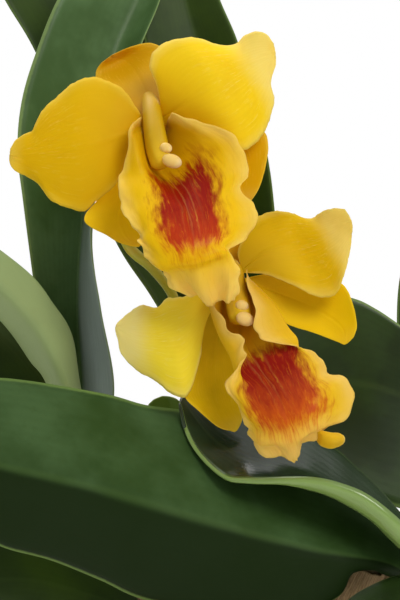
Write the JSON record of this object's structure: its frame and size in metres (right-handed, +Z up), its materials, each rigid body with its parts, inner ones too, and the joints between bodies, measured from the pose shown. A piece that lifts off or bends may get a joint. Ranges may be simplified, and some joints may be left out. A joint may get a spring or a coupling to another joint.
{
  "type": "potted cattleya orchid",
  "caption": "Cattleya orchid in bark in a plain clay pot, with strap leaves on clubbed stems and open yellow ruffled blooms whose lips are marked dark red.",
  "frame": {"origin": "centre of the pot's flat underside, where it stands on the ground", "axes": "+Z up along the pot's axis; the blooms face -Y, which is the front; +X is to the right of a person looking at the front"},
  "size_m": [0.2751, 0.1783, 0.4359],
  "materials": {
    "clay": "unglazed fired clay, matte",
    "bark": "rough broken bark",
    "root_skin": "corky grey-green skin",
    "bulb_skin": "waxy, ribbed, green",
    "papery": "dry brown papery sheath",
    "leaf_skin": "leathery leaf with a soft gloss",
    "sheath_skin": "thin pale green sheath",
    "stem_skin": "smooth green stem",
    "stalk_skin": "smooth yellow-green stalk",
    "petal_yellow": "soft waxy yellow petal",
    "sepal_gold": "soft waxy golden sepal",
    "lip_yellow": "yellow lip with a dark red throat patch",
    "column_cream": "waxy cream-yellow column"
  },
  "bodies": {
    "root": {"pot": "clay", "bark_mix": "bark", "rhizome": "root_skin", "pseudobulb_1": "bulb_skin", "pseudobulb_2": "bulb_skin", "pseudobulb_3": "bulb_skin", "pseudobulb_4": "bulb_skin", "pseudobulb_5": "bulb_skin", "pseudobulb_6": "bulb_skin", "pseudobulb_7": "bulb_skin", "pseudobulb_8": "bulb_skin", "pseudobulb_9": "bulb_skin", "pseudobulb_10": "bulb_skin", "pseudobulb_11": "bulb_skin", "pseudobulb_1_sheath": "papery", "pseudobulb_3_sheath": "papery", "pseudobulb_4_sheath": "papery", "pseudobulb_9_sheath": "papery", "pseudobulb_11_sheath": "papery", "leaf_left_upright": "leaf_skin", "leaf_back_left": "leaf_skin", "leaf_back_right": "leaf_skin", "leaf_left_arching": "leaf_skin", "leaf_left_low": "leaf_skin", "leaf_front_broad": "leaf_skin", "leaf_front_right": "leaf_skin", "leaf_right_arching": "leaf_skin", "leaf_front_left_low": "leaf_skin", "leaf_front_right_low": "leaf_skin", "leaf_right_upright": "leaf_skin", "flower_sheath": "sheath_skin", "flower_stem": "stem_skin", "upper_bloom_stalk": "stalk_skin", "upper_bloom_left_petal": "petal_yellow", "upper_bloom_right_petal": "petal_yellow", "upper_bloom_dorsal_sepal": "sepal_gold", "upper_bloom_left_lateral_sepal": "sepal_gold", "upper_bloom_right_lateral_sepal": "sepal_gold", "upper_bloom_lip": "lip_yellow", "upper_bloom_column": "column_cream", "lower_bloom_stalk": "stalk_skin", "lower_bloom_left_petal": "petal_yellow", "lower_bloom_right_petal": "petal_yellow", "lower_bloom_dorsal_sepal": "sepal_gold", "lower_bloom_left_lateral_sepal": "sepal_gold", "lower_bloom_right_lateral_sepal": "sepal_gold", "lower_bloom_lip": "lip_yellow", "lower_bloom_column": "column_cream"}
  },
  "joints": []
}
